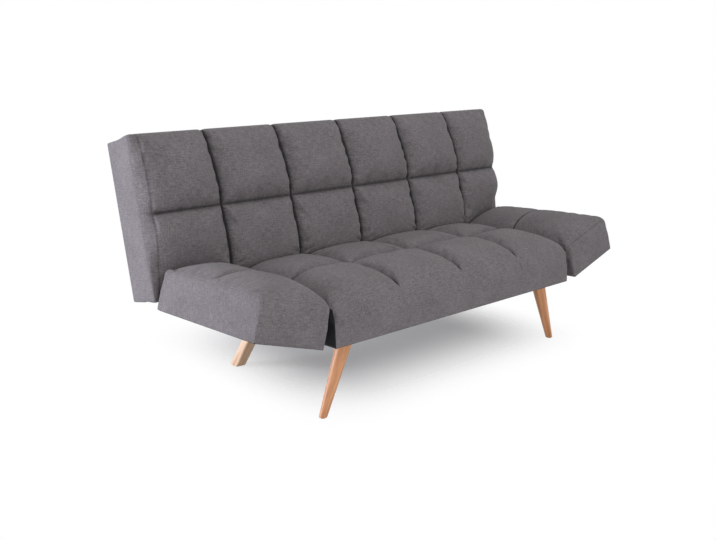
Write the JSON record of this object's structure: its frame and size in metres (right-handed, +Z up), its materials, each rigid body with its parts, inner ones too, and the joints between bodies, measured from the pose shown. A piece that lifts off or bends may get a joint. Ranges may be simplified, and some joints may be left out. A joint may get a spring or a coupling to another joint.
{
  "type": "sofa bed",
  "caption": "Click-clack sofa bed with a quilted seat, a reclining quilted back, tilting wing arms and splayed wooden legs.",
  "frame": {"origin": "on the floor, in the middle of the sofa's plan as pictured", "axes": "+Z up, +X to the right as seen from the front, front towards -Y"},
  "size_m": [1.777, 0.8758, 0.8713],
  "materials": {
    "cover_fabric": "woven, heathered mid grey",
    "dust_cloth": "black non-woven",
    "webbing": "elastic webbing",
    "beech": "satin lacquer",
    "frame_wood": "sawn",
    "hardboard": "hardboard",
    "black_steel": "black powder coat",
    "zinc_steel": "zinc plated",
    "glide_plastic": "moulded"
  },
  "bodies": {
    "base": {"seat_front_rail": "frame_wood", "seat_rear_rail": "frame_wood", "left_seat_side_rail": "frame_wood", "right_seat_side_rail": "frame_wood", "seat_cross_rails": "frame_wood", "leg_blocks": "frame_wood", "seat_webbing": "webbing", "seat_dust_cover": "dust_cloth", "seat_border": "cover_fabric", "seat_pad": "cover_fabric", "left_front_leg": "beech", "right_front_leg": "beech", "left_rear_leg": "beech", "right_rear_leg": "beech", "left_front_glide": "glide_plastic", "right_front_glide": "glide_plastic", "left_rear_glide": "glide_plastic", "right_rear_glide": "glide_plastic", "leg_plates": "black_steel", "left_click_clack_seat_bracket": "black_steel", "right_click_clack_seat_bracket": "black_steel", "left_click_clack_pivot_bolt": "zinc_steel", "right_click_clack_pivot_bolt": "zinc_steel", "left_arm_hinge_fixed_leaves": "black_steel", "right_arm_hinge_fixed_leaves": "black_steel", "left_arm_hinge_pins": "zinc_steel", "right_arm_hinge_pins": "zinc_steel"},
    "back": {"back_bottom_rail": "frame_wood", "back_top_rail": "frame_wood", "left_back_side_stile": "frame_wood", "right_back_side_stile": "frame_wood", "back_inner_stiles": "frame_wood", "back_webbing": "webbing", "back_rear_cover": "cover_fabric", "back_border": "cover_fabric", "back_pad": "cover_fabric", "left_click_clack_back_bracket": "black_steel", "right_click_clack_back_bracket": "black_steel"},
    "left_arm": {"left_arm_inner_rail": "frame_wood", "left_arm_outer_rail": "frame_wood", "left_arm_end_rails": "frame_wood", "left_arm_deck": "hardboard", "left_arm_border": "cover_fabric", "left_arm_dust_cover": "dust_cloth", "left_arm_pad": "cover_fabric", "left_arm_hinge_moving_leaves": "black_steel"},
    "right_arm": {"right_arm_inner_rail": "frame_wood", "right_arm_outer_rail": "frame_wood", "right_arm_end_rails": "frame_wood", "right_arm_deck": "hardboard", "right_arm_border": "cover_fabric", "right_arm_dust_cover": "dust_cloth", "right_arm_pad": "cover_fabric", "right_arm_hinge_moving_leaves": "black_steel"}
  },
  "joints": [
    {"name": "back_recline", "type": "hinge", "parent": "base", "child": "back", "pos_m": [0, 0.17251, 0.33715], "axis": [-1, 0, 0], "range_deg": [0, 80.97]},
    {"name": "left_arm_tilt", "type": "hinge", "parent": "base", "child": "left_arm", "pos_m": [-0.596, 0.13399, 0.34605], "axis": [0, -0.9981, 0.0619], "range_deg": [-25, 17.5]},
    {"name": "right_arm_tilt", "type": "hinge", "parent": "base", "child": "right_arm", "pos_m": [0.596, 0.13399, 0.34605], "axis": [0, 0.9981, -0.0619], "range_deg": [-25, 17.5]}
  ]
}
